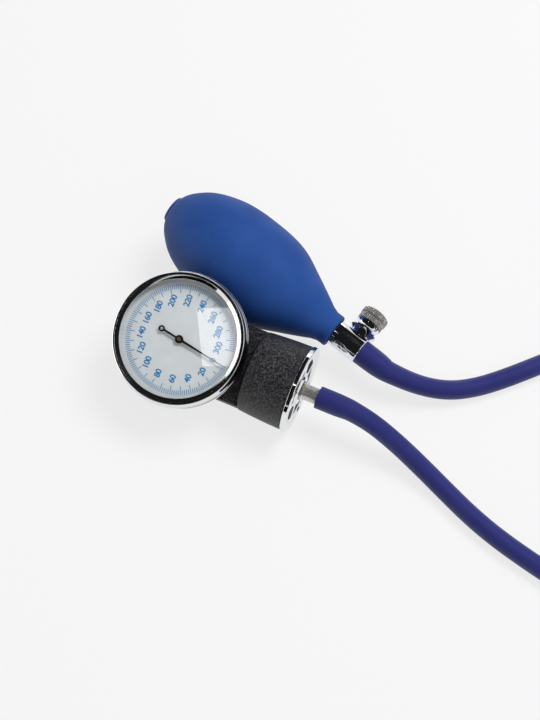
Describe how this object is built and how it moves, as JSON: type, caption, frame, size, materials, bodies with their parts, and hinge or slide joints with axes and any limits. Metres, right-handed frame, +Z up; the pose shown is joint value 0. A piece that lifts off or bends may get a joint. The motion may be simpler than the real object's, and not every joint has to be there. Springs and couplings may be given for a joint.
{
  "type": "aneroid sphygmomanometer gauge with bulb",
  "caption": "Aneroid blood pressure gauge with a round dial on a drum, a rubber squeeze bulb with a release valve, and two rubber tubes ending in slip connectors.",
  "frame": {"origin": "on the table, under the middle of the gauge and the bulb", "axes": "+Z up from the table, +X to the right along the table and +Y away from the viewer, as they lie"},
  "size_m": [0.3328, 0.2744, 0.0522],
  "materials": {
    "chrome": "polished chrome plate",
    "nickel": "turned nickel plate",
    "black_lacquer": "wrinkled black lacquer",
    "glass": "clear glass",
    "dial_paint": "pale grey dial with blue marks",
    "pointer_black": "black",
    "brass": "turned brass",
    "bulb_rubber": "matte blue rubber",
    "tube_rubber": "matte dark blue rubber",
    "black_rubber": "matte black rubber",
    "felt": "dark felt",
    "steel": "ground steel",
    "copper_alloy": "thin spring bronze",
    "clip_plastic": "grey plastic"
  },
  "bodies": {
    "kit": {"gauge_body": "black_lacquer", "end_cap": "chrome", "dust_screen": "felt", "hose_stub": "nickel", "stub_nut": "brass", "pressure_capsule": "copper_alloy", "rod_bush": "brass", "head_case": "black_lacquer", "case_screws": "steel", "movement_plate": "brass", "movement_bridge": "brass", "movement_pillars": "brass", "movement_screws": "steel", "hairspring": "copper_alloy", "hairspring_stud": "brass", "dial_plate": "dial_paint", "glass_gasket": "black_rubber", "gauge_glass": "glass", "bezel_ring": "chrome", "bulb": "bulb_rubber", "intake_valve_body": "nickel", "intake_cage": "brass", "valve_body": "chrome", "check_cage": "brass", "valve_neck": "chrome", "needle_seal": "black_rubber", "bulb_tube": "tube_rubber", "bulb_tube_coil": "tube_rubber", "bulb_tube_connector": "chrome", "gauge_tube": "tube_rubber", "gauge_tube_coil": "tube_rubber", "gauge_tube_connector": "chrome", "coil_clips": "clip_plastic"},
    "rocker": {"sector_gear": "brass", "rocker_arbor": "steel", "rocker_lever": "brass"},
    "hand": {"pinion": "brass", "pointer_arbor": "steel", "pointer": "pointer_black", "pointer_bush": "brass"},
    "rod": {"push_rod": "steel"},
    "needle": {"valve_needle": "steel"},
    "knob": {"release_knob": "nickel"},
    "outlet": {"check_ball": "steel"},
    "intake": {"intake_ball": "steel"}
  },
  "joints": [
    {"name": "sector_swing", "type": "hinge", "parent": "kit", "child": "rocker", "pos_m": [-0.01287, -0.02739, 0.02031], "axis": [-0.1391, -0.3125, 0.9397], "range_deg": [0, 34.1]},
    {"name": "pointer_turn", "type": "hinge", "parent": "kit", "child": "hand", "pos_m": [-0.03153, -0.01579, 0.0214], "axis": [-0.1391, -0.3125, 0.9397], "range_deg": [-341, 0]},
    {"name": "rod_slide", "type": "slide", "parent": "kit", "child": "rod", "axis": [-0.9135, 0.4067, 0], "range_m": [0, 0.0019]},
    {"name": "knob_turn", "type": "hinge", "parent": "needle", "child": "knob", "pos_m": [0.04804, -0.01531, 0.01815], "axis": [0.6122, 0.7907, 0], "range_deg": [0, 540]},
    {"name": "needle_travel", "type": "slide", "parent": "kit", "child": "needle", "axis": [0.6122, 0.7907, 0], "range_m": [0, 0.00112]},
    {"name": "check_ball_lift", "type": "slide", "parent": "kit", "child": "outlet", "axis": [0.785, -0.6078, -0.1201], "range_m": [0, 0.0009]},
    {"name": "intake_ball_lift", "type": "slide", "parent": "kit", "child": "intake", "axis": [0.785, -0.6078, -0.1201], "range_m": [0, 0.0008]}
  ],
  "couplings": [
    {"joint": "pointer_turn", "follows": "sector_swing", "ratio": -10},
    {"joint": "rod_slide", "follows": "sector_swing", "m_per_rad": 0.0032},
    {"joint": "needle_travel", "follows": "knob_turn", "m_per_rad": 0.00011937}
  ]
}
